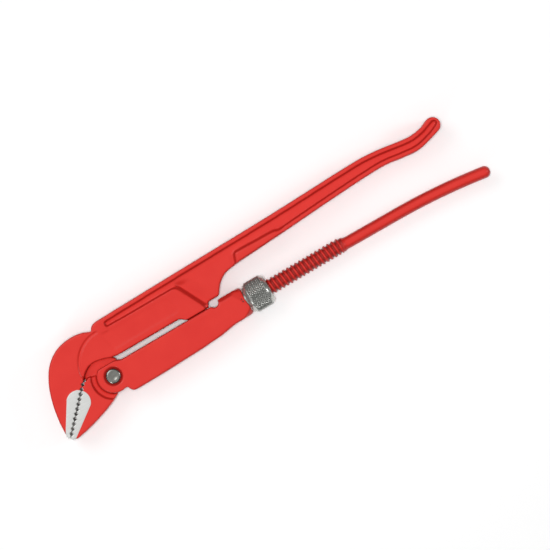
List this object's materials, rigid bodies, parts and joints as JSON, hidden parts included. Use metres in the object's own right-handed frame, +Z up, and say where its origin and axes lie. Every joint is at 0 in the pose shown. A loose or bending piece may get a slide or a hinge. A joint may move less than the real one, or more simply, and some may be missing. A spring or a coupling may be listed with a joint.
{
  "type": "pipe wrench",
  "caption": "Corner pipe wrench with a fixed hook jaw, a sliding swivel jaw set by a knurled nut on a threaded spindle, and a pair of long handles.",
  "frame": {"origin": "middle of the bounding box's underside, with the tool lying flat on its side", "axes": "+X along the tool from the jaws to the handle ends, +Y across it towards the long handle, +Z up through its thickness"},
  "size_m": [0.3218, 0.0636, 0.0212],
  "materials": {
    "red_paint": "gloss powder coat over forged steel",
    "bright_steel": "bare zinc-bright steel, knurled on the nut",
    "ground_steel": "bare ground and hardened jaw faces",
    "plain_steel": "oiled spring steel"
  },
  "bodies": {
    "hook_leg": {"upper_leg": "red_paint", "pivot_pin": "plain_steel"},
    "spindle": {"spindle_leg": "red_paint"},
    "arm": {"lower_arm": "red_paint", "jaw_rivet": "bright_steel", "nut_retaining_ring": "plain_steel"},
    "nut": {"adjusting_nut": "bright_steel"},
    "jaw": {"lower_jaw": "red_paint"}
  },
  "joints": [
    {"name": "handle_swing", "type": "hinge", "parent": "hook_leg", "child": "spindle", "pos_m": [-0.05107, -0.01024, 0.0106], "axis": [0, 0, -1], "range_deg": [0, 1.2]},
    {"name": "jaw_adjust", "type": "slide", "parent": "spindle", "child": "arm", "axis": [1, 0, 0], "range_m": [0, 0.048]},
    {"name": "nut_spin", "type": "hinge", "parent": "arm", "child": "nut", "pos_m": [-0.0084, -0.01024, 0.0106], "axis": [1, 0, 0], "range_deg": [0, 5761]},
    {"name": "jaw_swivel", "type": "hinge", "parent": "arm", "child": "jaw", "pos_m": [-0.11537, -0.00884, 0.0106], "axis": [0, 0, 1], "range_deg": [0, 7.3]}
  ],
  "couplings": [
    {"joint": "nut_spin", "follows": "jaw_adjust", "rad_per_m": 2094.4},
    {"joint": "jaw_swivel", "follows": "handle_swing", "ratio": 6}
  ]
}
